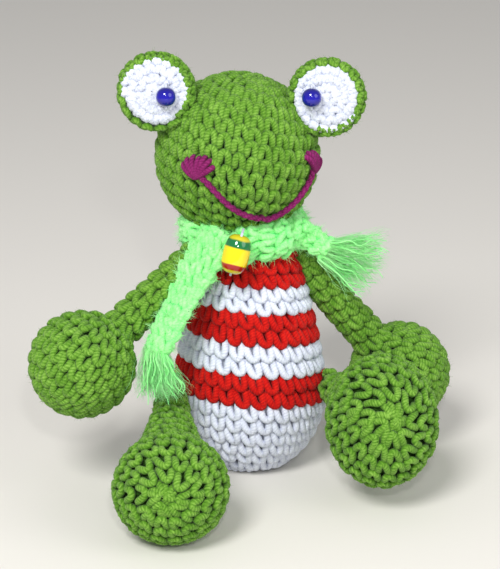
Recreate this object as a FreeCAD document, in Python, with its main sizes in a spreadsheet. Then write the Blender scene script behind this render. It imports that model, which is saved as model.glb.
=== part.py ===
import FreeCAD, Part
import math
import os
import Sketcher
from FreeCAD import Matrix, Placement, Rotation, Vector

# A crocheted, stuffed frog toy that sits, in millimetres.
# The origin is the middle of the flat seat under the body. The frog faces -Y, its left side is +X.
# Every crocheted piece is worked in rounds, and each round stands out as a ridge.
# A turn is an angle round the upright, from the front towards the frog's left.
# A drop is an angle below the level.

SIZES = (
    ("round_height", 4.7, "height of one round of stitches"),
    ("round_rise", 1.0, "how far a round stands out of the grooves beside it"),
    ("sewn_gap", 0.15, "room between two pieces that are sewn together"),
    ("yarn_radius", 1.05, "half the thickness of the embroidery yarn"),
    ("body_radius", 25.0, "widest part of the body"),
    ("body_belly", 26.0, "height of the widest part above the seat"),
    ("body_under", 29.0, "depth of the rounded underside, if it weren't flat"),
    ("body_lean", 5.0, "how far the body leans back, in degrees"),
    ("neck_height", 80.0, "height of the seam between body and head"),
    ("neck_radius", 12.5, "top of the body"),
    ("head_radius", 26.0, "head over the ridges"),
    ("head_side", -4.1, "middle of the head, to the side"),
    ("head_back", 7.0, "middle of the head, to the back"),
    ("head_rise", 23.0, "middle of the head above the neck seam"),
    ("head_roll", 15.0, "how far the head's rounds tip to the frog's left, in degrees"),
    ("arm_length", 63.0, "from the shoulder to the middle of the hand"),
    ("arm_radius", 5.4, "arm at the shoulder"),
    ("wrist_radius", 6.2, "arm at the hand"),
    ("hand_radius", 16.5, "hand over the ridges"),
    ("shoulder_out", 10.0, "shoulder from the middle of the neck"),
    ("right_shoulder_height", 79.0, "right shoulder above the seat"),
    ("right_arm_turn", -56.0, "direction of the right arm"),
    ("right_arm_drop", 33.0, "slope of the right arm"),
    ("left_shoulder_height", 75.0, "left shoulder above the seat"),
    ("left_arm_turn", 97.0, "direction of the left arm"),
    ("left_arm_drop", 50.0, "slope of the left arm"),
    ("hip_out", 26.5, "hip from the middle of the body"),
    ("hip_height", 30.0, "hips above the seat"),
    ("leg_radius", 4.6, "leg at the hip"),
    ("ankle_radius", 12.0, "leg where it ends in the foot"),
    ("foot_radius", 17.4, "foot over the ridges, side to side"),
    ("right_hip_turn", -76.0, "right hip round the body"),
    ("right_leg_turn", 2.1, "direction of the right leg"),
    ("right_leg_drop", 13.1, "slope of the right leg"),
    ("right_leg_length", 57.7, "from the right hip to the middle of the foot"),
    ("right_foot_turn", -4.0, "direction that the right sole faces"),
    ("right_foot_lift", 15.0, "how far the right sole faces up"),
    ("right_foot_stretch", 0.96, "height of the right foot against its width"),
    ("left_hip_turn", 70.0, "left hip round the body"),
    ("left_leg_turn", 30.3, "direction of the left leg"),
    ("left_leg_drop", 3.6, "slope of the left leg"),
    ("left_leg_length", 32.0, "from the left hip to the middle of the foot"),
    ("left_foot_turn", 9.0, "direction that the left sole faces"),
    ("left_foot_lift", 22.0, "how far the left sole faces up"),
    ("left_foot_stretch", 1.18, "height of the left foot against its width"),
    ("eye_radius", 12.3, "eye cup over the ridges"),
    ("eye_back", 4.6, "depth of the domed back of an eye cup"),
    ("eye_side", 4.4, "depth of the straight side of an eye cup"),
    ("eye_sunk", 4.2, "how far an eye cup is pressed against the head"),
    ("right_eye_turn", -73.0, "right eye round the head"),
    ("right_eye_lift", 40.5, "right eye above the middle of the head, in degrees"),
    ("left_eye_turn", 83.0, "left eye round the head"),
    ("left_eye_lift", 34.5, "left eye above the middle of the head, in degrees"),
    ("eye_look_turn", 3.0, "how far an eye looks to the side"),
    ("eye_look_lift", 10.0, "how far an eye looks up"),
    ("eye_white_radius", 10.4, "white of an eye"),
    ("eye_white_rise", 2.2, "how far the white of an eye bulges"),
    ("pupil_radius", 3.0, "blue bead of an eye"),
    ("pupil_length", 5.4, "blue bead along its hole"),
    ("right_pupil_side", 3.7, "blue bead from the middle of the right eye, to the frog's left"),
    ("right_pupil_up", -1.4, "blue bead above the middle of the right eye"),
    ("left_pupil_side", -5.3, "blue bead from the middle of the left eye, to the frog's left"),
    ("left_pupil_up", 0.2, "blue bead above the middle of the left eye"),
    ("mouth_radius", 17.5, "curve of the smile"),
    ("mouth_arc", 166.0, "length of the smile, in degrees"),
    ("mouth_turn", 20.5, "direction that the face looks in"),
    ("mouth_lift", 7.0, "how far the face looks up"),
    ("mouth_roll", 4.0, "how far the smile tips to the frog's left"),
    ("corner_length", 7.0, "strands at a corner of the mouth"),
    ("corner_width", 2.0, "width of a fan of strands where it leaves the smile"),
    ("corner_overlap", 0.2, "how far a strand starts inside the smile"),
    ("corner_lift", 0.25, "how much further out a strand ends than it starts"),
    ("corner_root_radius", 0.8, "a strand where it leaves the smile"),
    ("corner_spread", 62.0, "fan of the strands at a corner, in degrees"),
    ("corner_strands", 5, "strands at a corner"),
    ("scarf_radius", 15.5, "middle line of the scarf round the neck"),
    ("scarf_side", -2.0, "middle of the scarf from the middle of the neck, to the side"),
    ("scarf_drop", 0.8, "middle of the scarf below the neck seam"),
    ("scarf_tilt", 4.0, "how far the front of the scarf dips, in degrees"),
    ("scarf_thickness", 13.0, "scarf round the neck, top to bottom"),
    ("scarf_width", 10.5, "hanging end of the scarf, side to side"),
    ("scarf_depth", 4.6, "hanging end of the scarf, front to back"),
    ("right_end_turn", -38.0, "where the right end leaves the neck"),
    ("right_end_lean", 44.0, "how far the right end swings out from the plumb"),
    ("right_end_twist", 0.0, "how far the right end is turned on edge"),
    ("right_end_length", 35.0, "right end of the scarf"),
    ("left_end_turn", 72.0, "where the left end leaves the neck"),
    ("left_end_lean", 66.0, "how far the left end swings out from the plumb"),
    ("left_end_twist", 90.0, "how far the left end is turned on edge"),
    ("left_end_length", 7.0, "left end of the scarf"),
    ("fringe_strands", 7, "strands in a fringe"),
    ("fringe_radius", 1.7, "a fringe strand at its root"),
    ("fringe_tip_radius", 0.8, "a fringe strand at its tip"),
    ("right_fringe_turn", 22.0, "direction that the right fringe hangs in"),
    ("right_fringe_lean", 22.0, "how far the right fringe hangs from the plumb"),
    ("right_fringe_length", 17.0, "right fringe"),
    ("right_fringe_spread", 24.0, "fan of the right fringe, in degrees"),
    ("left_fringe_turn", 83.0, "direction that the left fringe points in"),
    ("left_fringe_lean", 76.0, "how far the left fringe swings out from the plumb"),
    ("left_fringe_length", 22.0, "left fringe"),
    ("left_fringe_spread", 46.0, "fan of the left fringe, in degrees"),
    ("scarf_bead_radius", 4.2, "yellow bead on the scarf"),
    ("scarf_bead_length", 12.4, "yellow bead along its hole"),
    ("scarf_bead_turn", -5.0, "yellow bead round the neck"),
    ("scarf_bead_tilt", 15.0, "lean of the yellow bead, in degrees"),
    ("bead_bulge", 0.5, "how far a bead is rounder than a cylinder"),
    ("hole_radius", 0.7, "hole through a bead"),
    ("thread_radius", 0.4, "thread through a bead"),
)

doc = FreeCAD.newDocument("CrochetedFrog")
sheet = doc.addObject("Spreadsheet::Sheet", "Sizes")
for row, (alias, size, meaning) in enumerate(SIZES, start=1):
    sheet.set(f"A{row}", meaning)
    sheet.set(f"B{row}", str(size))
    sheet.setAlias(f"B{row}", alias)
doc.recompute()

# The curve across one round, which rises by round_rise over round_height.
ROUND_CURVE = "(Sizes.round_height ^ 2 / (8 * Sizes.round_rise) + Sizes.round_rise / 2)"
BELLY_SHAPE = 1.35
BODY_START = 16.0
BODY_PAST_NECK = 1.06
# The leg's rounded end lies inside the foot: how much of the foot's room it takes, and where it starts to close.
ANKLE_SUNK = 0.8
ANKLE_CLOSES = 0.98
SIDEWAYS = Vector(1, 0, 0)
UPRIGHT = Vector(0, 0, 1)
NODES = []


def worth(text):
    """Value of an expression on the sheet."""
    return float(sheet.evalExpression(text))


def rounds_in(length):
    """Number of rounds that cover a length, none of them taller than round_height."""
    return max(3, math.ceil(length / worth("Sizes.round_height")))


def heading(turn, drop):
    """Unit vector for a turn and a drop in degrees."""
    around, down = math.radians(turn), math.radians(drop)
    return Vector(math.sin(around) * math.cos(down), -math.cos(around) * math.cos(down), -math.sin(down))


def facing(along, sideways=SIDEWAYS):
    """Rotation that turns the local Z axis along a direction and keeps X as near sideways as it can."""
    return Rotation(sideways, Vector(), along, "ZXY")


def keep(shape_object, label):
    """Give a finished piece its name and put it on the list of nodes."""
    shape_object.Label = label
    NODES.append(shape_object)
    return shape_object


def plane_of(body, role):
    return next(item for item in body.Origin.OriginFeatures if item.Role == role)


def new_sketch(body, name, role):
    sketch = body.newObject("Sketcher::SketchObject", name)
    sketch.AttachmentSupport = [(plane_of(body, role), "")]
    sketch.MapMode = "FlatFace"
    return sketch


def bind(sketch, kind, *where_and_text):
    """Add a driving constraint whose value is an expression on the sheet."""
    where, text = where_and_text[:-1], where_and_text[-1]
    index = sketch.addConstraint(Sketcher.Constraint(kind, *where, worth(text)))
    sketch.setExpression(f"Constraints[{index}]", text)


def pin_point(sketch, line, end, across, along):
    """Place one end of a line or arc, where a text of 0 puts it on an axis of the sketch."""
    if across == "0":
        sketch.addConstraint(Sketcher.Constraint("PointOnObject", line, end, -2))
    else:
        bind(sketch, "DistanceX", line, end, across)
    if along == "0":
        sketch.addConstraint(Sketcher.Constraint("PointOnObject", line, end, -1))
    else:
        bind(sketch, "DistanceY", line, end, along)


def arc_between(start, end, radius):
    """Arc from start to end that bulges to the right of the way it runs, centred on the axis at a pole."""
    middle = (start + end) * 0.5
    chord = end - start
    inward = Vector(-chord.y, chord.x, 0).normalize()
    if min(start.x, end.x) > 0:
        centre = middle + inward * math.sqrt(radius ** 2 - (chord.Length / 2) ** 2)
    else:
        centre = middle - inward * (middle.x / inward.x)
        radius = centre.distanceToPoint(start)
    first = math.atan2(start.y - centre.y, start.x - centre.x)
    last = math.atan2(end.y - centre.y, end.x - centre.x)
    if last < first:
        last += 2 * math.pi
    return Part.ArcOfCircle(Part.Circle(centre, UPRIGHT, radius), first, last)


def turned(name, points, curve=None):
    """Body turned about its own Z axis from an outline of (across, along) texts.

    With a curve, each step of the outline is an arc of that radius, which is one round of stitches,
    and a step that ends on the axis is a dome.
    """
    body = doc.addObject("PartDesign::Body", name)
    sketch = new_sketch(body, f"{name}_outline", "XZ_Plane")
    places = [Vector(worth(across), worth(along), 0) for across, along in points]
    for start, end in zip(places, places[1:]):
        step = arc_between(start, end, worth(curve)) if curve else Part.LineSegment(start, end)
        sketch.addGeometry(step)
    steps = len(places) - 1
    corners = [places[-1], Vector(0, places[-1].y, 0), Vector(0, places[0].y, 0), places[0]]
    for start, end in zip(corners, corners[1:]):
        if start.distanceToPoint(end) > 1e-6:
            sketch.addGeometry(Part.LineSegment(start, end))
    total = sketch.GeometryCount
    for line in range(total):
        following = (line + 1) % total
        sketch.addConstraint(Sketcher.Constraint("Coincident", line, 2, following, 1))
    for line in range(steps):
        pin_point(sketch, line, 1, *points[line])
        if not curve:
            continue
        if "0" in (points[line][0], points[line + 1][0]):
            sketch.addConstraint(Sketcher.Constraint("PointOnObject", line, 3, -2))
        else:
            bind(sketch, "Radius", line, curve)
    pin_point(sketch, steps - 1, 2, *points[-1])
    for line in range(steps, total - 1):
        sketch.addConstraint(Sketcher.Constraint("PointOnObject", line, 2, -2))
    if points[-1][0] != "0":
        sketch.addConstraint(Sketcher.Constraint("Horizontal", steps))
    if points[0][0] != "0":
        sketch.addConstraint(Sketcher.Constraint("Horizontal", total - 1))
    solid = body.newObject("PartDesign::Revolution", f"{name}_turned")
    solid.Profile = sketch
    solid.ReferenceAxis = (sketch, ["V_Axis"])
    solid.Angle = 360
    sketch.Visibility = False
    return body


def cut(name, base, tools):
    """Cut one tool after the other out of a piece."""
    for number, tool in enumerate(tools):
        step = doc.addObject("Part::Cut", f"{name}_cut_{number}")
        step.Base = base
        step.Tool = tool
        base = step
    return base


def slab(name, low, high):
    """Wide level slab between two heights, given as texts."""
    box = doc.addObject("Part::Box", name)
    box.setExpression("Length", "8 * Sizes.head_radius")
    box.setExpression("Width", "8 * Sizes.head_radius")
    box.setExpression("Height", f"{high} - {low}")
    reach = worth("4 * Sizes.head_radius")
    box.Placement = Placement(Vector(-reach, -reach, worth(low)), Rotation())
    return box


def between(name, base, low, high):
    """Part of a piece between two heights, with a flat face at each."""
    step = doc.addObject("Part::Common", f"{name}_flat")
    step.Base = base
    step.Tool = slab(f"{name}_slab", low, high)
    return step


def fused(name, pieces):
    step = doc.addObject("Part::MultiFuse", name)
    step.Shapes = pieces
    return step


# Body: an egg that leans back, flat under the seat and at the neck.
BODY_AXIS = heading(180, worth("Sizes.body_lean") - 90)
NECK = BODY_AXIS * worth("Sizes.neck_height / cos(Sizes.body_lean)")


def body_outline(inset, middles=False):
    """Outline of the body, from under the seat to past the neck, set in by a text."""
    wide = f"(Sizes.body_radius - {inset})"
    deep = f"(Sizes.body_under - {inset})"
    tall = "((Sizes.neck_height - Sizes.body_belly) / cos(Sizes.body_lean))"
    lower = rounds_in(worth("Sizes.body_under") * math.radians(90 - BODY_START))
    slope = math.hypot(worth(tall), worth("Sizes.body_radius - Sizes.neck_radius"))
    upper = rounds_in(slope * BODY_PAST_NECK)
    shift = 0.5 if middles else 0.0
    points = []
    for step in range(lower):
        angle = BODY_START + (90 - BODY_START) * (step + shift) / lower
        points.append((f"{wide} * sin({angle})", f"Sizes.body_under - {deep} * cos({angle})"))
    for step in range(upper + 1):
        share = BODY_PAST_NECK * (step + shift) / upper
        taper = f"(Sizes.body_radius - Sizes.neck_radius) * {share ** BELLY_SHAPE}"
        points.append((f"{wide} - {taper}", f"Sizes.body_under + {tall} * {share}"))
    return points


def set_on_body_axis(piece):
    foot = BODY_AXIS * worth("(Sizes.body_belly - Sizes.body_under) / cos(Sizes.body_lean)")
    piece.Placement = Placement(foot, facing(BODY_AXIS))
    return piece


body_rounds = set_on_body_axis(turned("body_rounds", body_outline("Sizes.round_rise"), ROUND_CURVE))
body_form = set_on_body_axis(turned("body_form", body_outline("(-1 * Sizes.sewn_gap)", middles=True)))
keep(between("body_piece", body_rounds, "0", "Sizes.neck_height"), "body")

# Head: a ball whose rounds tip sideways, flat where it is sewn to the neck.
HEAD_MIDDLE = Vector(worth("Sizes.head_side"), worth("Sizes.head_back"), worth("Sizes.neck_height + Sizes.head_rise"))


def ball_outline(radius, middle, start, count):
    """Groove points of a ball from an angle off its back pole to the ridge at its front pole."""
    points = []
    for step in range(count):
        angle = start + (180 - start) * step / count
        across = f"{radius} * sin({angle})" if angle else "0"
        points.append((across, f"{middle} - {radius} * cos({angle})" if angle else "0"))
    return points + [("0", f"{middle} + {radius} + Sizes.round_rise")]


HEAD_GROOVE = "(Sizes.head_radius - Sizes.round_rise)"
head_count = rounds_in(math.pi * worth("Sizes.head_radius"))
head_rounds = turned("head_rounds", ball_outline(HEAD_GROOVE, HEAD_GROOVE, 0, head_count), ROUND_CURVE)
head_axis = Rotation(Vector(0, 1, 0), worth("Sizes.head_roll")).multVec(UPRIGHT)
head_rounds.Placement = Placement(HEAD_MIDDLE - head_axis * worth(HEAD_GROOVE), facing(head_axis))
keep(between("head_piece", head_rounds, "Sizes.neck_height", "(Sizes.neck_height + 4 * Sizes.head_radius)"), "head")
head_form = doc.addObject("Part::Sphere", "head_form")
head_form.setExpression("Radius", "Sizes.head_radius + Sizes.sewn_gap")
head_form.Placement = Placement(HEAD_MIDDLE, Rotation())


# Limbs: a tube that widens into a stuffed ball.
def limb_outline(root, end, ball, length, domed=False):
    """Groove points of a limb from its sewn end to the far pole of its ball.

    A domed limb has a rounded sewn end, which adds its root radius to the front of the length.
    """
    root, end, ball = (f"({text} - Sizes.round_rise)" for text in (root, end, ball))
    tube = f"({length} - sqrt({ball} ^ 2 - {end} ^ 2))"
    start = math.degrees(math.asin(worth(end) / worth(ball)))
    tube_count = rounds_in(worth(tube))
    ball_count = rounds_in(math.radians(180 - start) * worth(ball))
    base = root if domed else "0"
    points = [("0", "0"), (f"{root} * sin(45)", f"{root} * (1 - cos(45))")] if domed else []
    for step in range(tube_count):
        along = f"{base} + {tube} * {step / tube_count}" if step or domed else "0"
        points.append((f"{root} + ({end} - {root}) * {(step / tube_count) ** 2}", along))
    return points + ball_outline(ball, f"({base} + {length})", start, ball_count)


def make_arm(side):
    turn, drop = worth(f"Sizes.{side}_arm_turn"), worth(f"Sizes.{side}_arm_drop")
    shoulder = Vector(0, NECK.y, 0) + heading(turn, 0) * worth("Sizes.shoulder_out")
    shoulder.z = worth(f"Sizes.{side}_shoulder_height")
    outline = limb_outline("Sizes.arm_radius", "Sizes.wrist_radius", "Sizes.hand_radius", "Sizes.arm_length")
    arm = turned(f"{side}_arm_rounds", outline, ROUND_CURVE)
    toward = heading(turn, drop)
    arm.Placement = Placement(shoulder, facing(toward))
    keep(cut(f"{side}_arm", arm, (body_form, head_form)), f"{side}_arm")
    form = doc.addObject("Part::Cone", f"{side}_arm_form")
    form.setExpression("Radius1", "Sizes.arm_radius + 2 * Sizes.sewn_gap")
    form.setExpression("Radius2", "Sizes.wrist_radius + 2 * Sizes.sewn_gap")
    form.setExpression("Height", "Sizes.arm_length - Sizes.hand_radius + Sizes.wrist_radius / 2")
    form.Placement = Placement(shoulder - toward * worth("2 * Sizes.sewn_gap"), facing(toward))
    return form


def make_leg(side):
    """Leg from the hip into an oval foot, whose sole faces its own way.

    The foot is a ball of rounds about the sole's axis, stretched upright across it.
    """
    around = heading(worth(f"Sizes.{side}_hip_turn"), 0) * worth("Sizes.hip_out")
    lift = worth("Sizes.hip_height")
    hip = Vector(around.x, around.y + lift * math.tan(math.radians(worth("Sizes.body_lean"))), lift)
    toward = heading(worth(f"Sizes.{side}_leg_turn"), worth(f"Sizes.{side}_leg_drop"))
    middle = hip + toward * worth(f"Sizes.{side}_leg_length")
    sole = heading(worth(f"Sizes.{side}_foot_turn"), -worth(f"Sizes.{side}_foot_lift"))

    ball = "(Sizes.foot_radius - Sizes.round_rise)"
    outline = ball_outline(ball, ball, 0, rounds_in(math.pi * worth("Sizes.foot_radius")))
    plain = turned(f"{side}_foot_rounds", outline, ROUND_CURVE)
    doc.recompute()
    stretch = Matrix()
    stretch.A22 = worth(f"Sizes.{side}_foot_stretch")
    foot = doc.addObject("Part::Feature", f"{side}_foot_oval")
    foot.Shape = plain.Shape.transformGeometry(stretch)
    foot.Placement = Placement(middle - sole * worth(ball), facing(sole, UPRIGHT.cross(sole) * -1))

    ankle = middle - sole * (ANKLE_SUNK * worth("Sizes.foot_radius - Sizes.ankle_radius"))
    way = ankle - hip
    length = f"{way.Length:.6f}"
    way.normalize()
    closes = f"{ANKLE_CLOSES} * Sizes.ankle_radius"
    outline = limb_outline("Sizes.leg_radius", closes, "Sizes.ankle_radius", length, domed=True)
    tube = turned(f"{side}_leg_rounds", outline, ROUND_CURVE)
    tube.Placement = Placement(hip - way * worth("Sizes.leg_radius - Sizes.round_rise"), facing(way))
    return keep(cut(f"{side}_leg", fused(f"{side}_leg_and_foot", [tube, foot]), (body_form,)), f"{side}_leg")


arm_forms = [make_arm("right"), make_arm("left")]
make_leg("right")
make_leg("left")


# Beads: barrels with a hole, held by a thread that goes in at one end and out at the other.
def make_bead(label, radius, length, middle, hole_way, outward):
    """Bead with its hole along hole_way, lying against what is behind it."""
    body = doc.addObject("PartDesign::Body", f"{label}_barrel")
    sketch = new_sketch(body, f"{label}_outline", "XZ_Plane")
    half = worth(f"{length} / 2")
    inner, outer = worth("Sizes.hole_radius"), worth(f"{radius} - Sizes.bead_bulge")
    low, high = Vector(outer, 0, 0), Vector(outer, 2 * half, 0)
    sketch.addGeometry(Part.LineSegment(Vector(inner, 0, 0), low))
    sketch.addGeometry(Part.Arc(low, Vector(worth(radius), half, 0), high))
    sketch.addGeometry(Part.LineSegment(high, Vector(inner, 2 * half, 0)))
    sketch.addGeometry(Part.LineSegment(Vector(inner, 2 * half, 0), Vector(inner, 0, 0)))
    for line in range(4):
        sketch.addConstraint(Sketcher.Constraint("Coincident", line, 2, (line + 1) % 4, 1))
    pin_point(sketch, 0, 1, "Sizes.hole_radius", "0")
    pin_point(sketch, 0, 2, f"{radius} - Sizes.bead_bulge", "0")
    pin_point(sketch, 2, 1, f"{radius} - Sizes.bead_bulge", length)
    pin_point(sketch, 2, 2, "Sizes.hole_radius", length)
    bind(sketch, "Radius", 1, f"({length}) ^ 2 / (8 * Sizes.bead_bulge) + Sizes.bead_bulge / 2")
    solid = body.newObject("PartDesign::Revolution", f"{label}_turned")
    solid.Profile = sketch
    solid.ReferenceAxis = (sketch, ["V_Axis"])
    solid.Angle = 360
    body.Placement = Placement(middle - hole_way * half, facing(hole_way, outward))
    return keep(body, label)


def make_thread(label, radius, length, middle, hole_way, outward):
    """Thread through a bead, bent back at both ends to what is behind the bead."""
    reach = f"({length} / 2 + 2.5 * Sizes.thread_radius)"
    bend = worth("2 * Sizes.thread_radius")
    back, end = worth(radius), worth(reach)
    quarter = bend * (1 - math.sqrt(0.5))
    path = Part.Wire([
        Part.LineSegment(Vector(-back, 0, -end), Vector(-bend, 0, -end)).toShape(),
        Part.Arc(Vector(-bend, 0, -end), Vector(-quarter, 0, -end + quarter), Vector(0, 0, -end + bend)).toShape(),
        Part.LineSegment(Vector(0, 0, -end + bend), Vector(0, 0, end - bend)).toShape(),
        Part.Arc(Vector(0, 0, end - bend), Vector(-quarter, 0, end - quarter), Vector(-bend, 0, end)).toShape(),
        Part.LineSegment(Vector(-bend, 0, end), Vector(-back, 0, end)).toShape(),
    ])
    ring = Part.Wire(Part.Circle(Vector(-back, 0, -end), SIDEWAYS, worth("Sizes.thread_radius")).toShape())
    thread = doc.addObject("Part::Feature", f"{label}_bent")
    thread.Shape = path.makePipeShell([ring], True, False)
    thread.Placement = Placement(middle, facing(hole_way, outward))
    return keep(thread, label)


# Eyes: a green cup pressed against the head, a white disc on it and a blue bead on that.
def make_eye(side):
    toward = heading(worth(f"Sizes.{side}_eye_turn"), -worth(f"Sizes.{side}_eye_lift"))
    sign = 1 if side == "left" else -1
    look = heading(sign * worth("Sizes.eye_look_turn"), -worth("Sizes.eye_look_lift"))
    middle = HEAD_MIDDLE + toward * worth("Sizes.head_radius + Sizes.eye_radius - Sizes.eye_sunk")
    across, deep = "(Sizes.eye_radius - Sizes.round_rise)", "Sizes.eye_back"
    count = rounds_in(math.pi / 2 * worth("Sizes.eye_radius"))
    outline = [("0", "0")]
    for step in range(1, count + 1):
        angle = 90 * step / count
        outline.append((f"{across} * sin({angle})", f"Sizes.round_rise + {deep} * (1 - cos({angle}))"))
    outline.append((across, f"Sizes.round_rise + {deep} + Sizes.eye_side"))
    cup = turned(f"{side}_eye_rounds", outline, ROUND_CURVE)
    depth = worth(f"Sizes.round_rise + {deep} + Sizes.eye_side")
    facing_out = facing(look)
    cup.Placement = Placement(middle - look * (depth / 2), facing_out)
    keep(cut(f"{side}_eye", cup, (head_form,)), f"{side}_eye")

    front = middle + look * (depth / 2)
    rise, wide = "Sizes.eye_white_rise", "Sizes.eye_white_radius"
    white_outline = [(wide, "0")] + [
        (f"{wide} * cos({angle})", f"{rise} * (0.25 + 0.75 * sin({angle}))") for angle in (25, 60)
    ] + [("0", rise)]
    white = turned(f"{side}_eye_white_rounds", white_outline, "Sizes.eye_white_radius")
    white.Placement = Placement(front, facing_out)
    keep(cut(f"{side}_eye_white", white, (head_form,)), f"{side}_eye_white")

    level = facing_out.multVec(SIDEWAYS)
    above = facing_out.multVec(Vector(0, 1, 0))
    lift = worth("Sizes.eye_white_rise + Sizes.pupil_radius + Sizes.sewn_gap")
    place = front + look * lift
    place += level * worth(f"Sizes.{side}_pupil_side") + above * worth(f"Sizes.{side}_pupil_up")
    bead = ("Sizes.pupil_radius", "Sizes.pupil_length", place, above, look)
    make_bead(f"{side}_pupil_bead", *bead)
    make_thread(f"{side}_pupil_thread", *bead)


make_eye("right")
make_eye("left")

# Mouth: one yarn laid on the head as a smile, with a fan of strands at each corner.
face = heading(worth("Sizes.mouth_turn"), -worth("Sizes.mouth_lift"))
face_level = UPRIGHT.cross(face).normalize()
mouth_down = Rotation(face, -worth("Sizes.mouth_roll")).multVec(face_level.cross(face))
mouth_side = face.cross(mouth_down)
mouth_body = doc.addObject("PartDesign::Body", "mouth_smile")
mouth_sketch = new_sketch(mouth_body, "mouth_yarn", "XZ_Plane")
YARN_SEAT = "(Sizes.head_radius + Sizes.yarn_radius + Sizes.sewn_gap)"
MOUTH_ALONG = f"sqrt({YARN_SEAT} ^ 2 - Sizes.mouth_radius ^ 2)"
yarn_middle = Vector(worth("Sizes.mouth_radius"), worth(MOUTH_ALONG), 0)
mouth_sketch.addGeometry(Part.Circle(yarn_middle, UPRIGHT, worth("Sizes.yarn_radius")))
pin_point(mouth_sketch, 0, 3, "Sizes.mouth_radius", MOUTH_ALONG)
bind(mouth_sketch, "Radius", 0, "Sizes.yarn_radius")
smile = mouth_body.newObject("PartDesign::Revolution", "mouth_turned")
smile.Profile = mouth_sketch
smile.ReferenceAxis = (mouth_sketch, ["V_Axis"])
smile.Midplane = True
smile.setExpression("Angle", "Sizes.mouth_arc")
mouth_body.Placement = Placement(Vector(), facing(face, mouth_down))


def make_corner(sign):
    """Fan of strands that spreads upwards from one end of the smile."""
    half = math.radians(worth("Sizes.mouth_arc") / 2)
    end = face * worth(MOUTH_ALONG)
    end += (mouth_down * math.cos(half) + mouth_side * sign * math.sin(half)) * worth("Sizes.mouth_radius")
    outward = Vector(end).normalize()
    upward = (mouth_down * -1 - outward * (mouth_down * -1).dot(outward)).normalize()
    across = outward.cross(upward)
    strands = []
    count = int(worth("Sizes.corner_strands"))
    for number in range(count):
        share = number / max(1, count - 1) - 0.5
        way = Rotation(outward, share * worth("Sizes.corner_spread")).multVec(upward)
        strand = doc.addObject("Part::Cone", f"mouth_strand_{sign + 1}_{number}")
        strand.setExpression("Radius1", "Sizes.corner_root_radius")
        strand.setExpression("Radius2", "Sizes.yarn_radius")
        strand.setExpression("Height", "Sizes.corner_length")
        root = end + across * (share * worth("Sizes.corner_width")) - way * worth("Sizes.corner_overlap")
        tip = root + way * worth("Sizes.corner_length")
        root = root.normalize() * worth(YARN_SEAT)
        tip = tip.normalize() * worth(f"{YARN_SEAT} + Sizes.corner_lift")
        strand.Placement = Placement(root, facing(tip - root, outward))
        strands.append(strand)
    return strands


# The yarns are joined about the origin, and the finished mouth is then set on the head.
mouth_yarns = fused("mouth_yarns", [mouth_body] + make_corner(-1) + make_corner(1))
mouth_yarns.Placement = Placement(HEAD_MIDDLE, Rotation())
keep(mouth_yarns, "mouth")

# Scarf: a fuzzy band round the neck whose two ends hang free, each with a fringe.
SCARF_TUBE = "(Sizes.scarf_thickness / 2)"
SCARF_MIDDLE = NECK + Vector(worth("Sizes.scarf_side"), 0, -worth("Sizes.scarf_drop"))
SCARF_TILT = Rotation(SIDEWAYS, worth("Sizes.scarf_tilt"))
band = doc.addObject("Part::Torus", "scarf_band")
band.setExpression("Radius1", "Sizes.scarf_radius")
band.setExpression("Radius2", SCARF_TUBE)
band.Placement = Placement(SCARF_MIDDLE, SCARF_TILT)


def make_end(side):
    """Flat end of the scarf, padded along its own axis, with where it starts and the way it runs."""
    turn = worth(f"Sizes.{side}_end_turn")
    lean = worth(f"Sizes.{side}_end_lean")
    root = SCARF_MIDDLE + SCARF_TILT.multVec(heading(turn, 0)) * worth("Sizes.scarf_radius")
    way = heading(turn, 90 - lean)
    body = doc.addObject("PartDesign::Body", f"scarf_end_{side}")
    sketch = new_sketch(body, f"scarf_end_{side}_section", "XY_Plane")
    half = worth("(Sizes.scarf_width - Sizes.scarf_depth) / 2")
    edge = worth("Sizes.scarf_depth / 2")
    right, left = Vector(half, 0, 0), Vector(-half, 0, 0)
    sketch.addGeometry(Part.ArcOfCircle(Part.Circle(right, UPRIGHT, edge), -math.pi / 2, math.pi / 2))
    sketch.addGeometry(Part.LineSegment(Vector(half, edge, 0), Vector(-half, edge, 0)))
    sketch.addGeometry(Part.ArcOfCircle(Part.Circle(left, UPRIGHT, edge), math.pi / 2, 3 * math.pi / 2))
    sketch.addGeometry(Part.LineSegment(Vector(-half, -edge, 0), Vector(half, -edge, 0)))
    for line in range(4):
        sketch.addConstraint(Sketcher.Constraint("Tangent", line, 2, (line + 1) % 4, 1))
    sketch.addConstraint(Sketcher.Constraint("Equal", 0, 2))
    sketch.addConstraint(Sketcher.Constraint("Symmetric", 0, 3, 2, 3, -1, 1))
    sketch.addConstraint(Sketcher.Constraint("PointOnObject", 0, 3, -1))
    bind(sketch, "DistanceX", 2, 3, 0, 3, "Sizes.scarf_width - Sizes.scarf_depth")
    bind(sketch, "Radius", 0, "Sizes.scarf_depth / 2")
    pad = body.newObject("PartDesign::Pad", f"scarf_end_{side}_pad")
    pad.Profile = sketch
    pad.setExpression("Length", f"Sizes.{side}_end_length + {SCARF_TUBE}")
    twist = Rotation(way, worth(f"Sizes.{side}_end_twist"))
    sideways = twist.multVec(way.cross(UPRIGHT).normalize())
    body.Placement = Placement(root, facing(way, sideways))
    return body, root, way, sideways


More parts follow.
